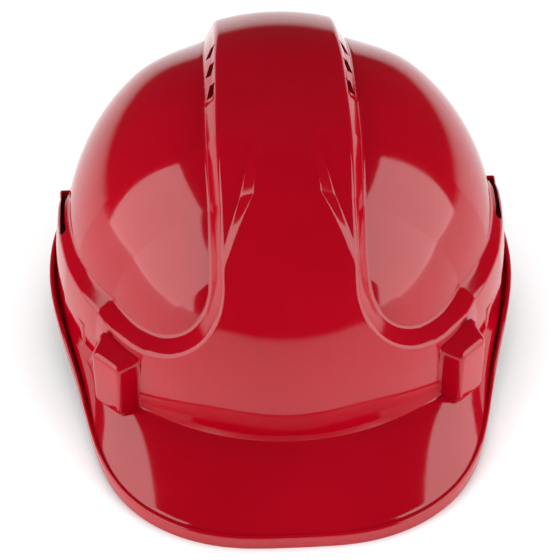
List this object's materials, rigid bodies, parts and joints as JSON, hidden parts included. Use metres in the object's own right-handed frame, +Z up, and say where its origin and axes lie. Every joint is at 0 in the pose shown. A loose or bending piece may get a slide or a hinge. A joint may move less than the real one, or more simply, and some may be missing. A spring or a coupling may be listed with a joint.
{
  "type": "hard hat",
  "caption": "Glossy moulded hard hat with a raised vented ridge, broad visor, rain gutter, accessory slots, and an inner webbing suspension whose rear ratchet knob tightens the headband.",
  "frame": {"origin": "under the middle of the hat's outline, on the surface it rests on", "axes": "+Z up, -Y the way the wearer faces (the visor), +X the wearer's left"},
  "size_m": [0.2214, 0.268, 0.147],
  "materials": {
    "shell_red": "glossy moulded red plastic",
    "webbing": "plain-woven black webbing",
    "harness_plastic": "finely grained black plastic",
    "knob_plastic": "satin dark grey plastic",
    "pad_fabric": "soft dark grey padding",
    "pinion_plastic": "natural acetal",
    "screw_steel": "zinc-plated steel"
  },
  "bodies": {
    "helmet": {"anchor_key_1": "harness_plastic", "anchor_key_2": "harness_plastic", "anchor_key_3": "harness_plastic", "anchor_key_4": "harness_plastic", "anchor_key_5": "harness_plastic", "anchor_key_6": "harness_plastic", "anchor_key_7": "harness_plastic", "anchor_key_8": "harness_plastic", "arm_guide_left": "harness_plastic", "arm_guide_right": "harness_plastic", "crown_pad": "pad_fabric", "crown_strap_1": "webbing", "crown_strap_2": "webbing", "crown_strap_3": "webbing", "crown_strap_4": "webbing", "detent_ring": "pinion_plastic", "hanger_front_left": "harness_plastic", "hanger_front_right": "harness_plastic", "hanger_side_left": "harness_plastic", "hanger_side_right": "harness_plastic", "headband": "harness_plastic", "nape_link_left": "harness_plastic", "nape_link_right": "harness_plastic", "nape_pad": "pad_fabric", "ratchet_base": "harness_plastic", "ratchet_cover": "harness_plastic", "shell": "shell_red", "sweatband": "pad_fabric"},
    "knob": {"knob": "knob_plastic", "pinion": "pinion_plastic", "knob_screw": "screw_steel"},
    "left_arm": {"left_arm": "harness_plastic"},
    "right_arm": {"right_arm": "harness_plastic"}
  },
  "joints": [
    {"name": "knob_turn", "type": "hinge", "parent": "helmet", "child": "knob", "pos_m": [0, 0.1081, 0.024], "axis": [0, 1, 0], "range_deg": [-180, 180]},
    {"name": "left_arm_slide", "type": "hinge", "parent": "helmet", "child": "left_arm", "pos_m": [0, 0.0181, 0.024], "axis": [0, 0, 1], "range_deg": [-12.1, 12.1]},
    {"name": "right_arm_slide", "type": "hinge", "parent": "helmet", "child": "right_arm", "pos_m": [0, 0.0181, 0.024], "axis": [0, 0, 1], "range_deg": [-11.9, 11.9]}
  ],
  "couplings": [
    {"joint": "left_arm_slide", "follows": "knob_turn", "ratio": -0.06674},
    {"joint": "right_arm_slide", "follows": "knob_turn", "ratio": 0.06557}
  ]
}
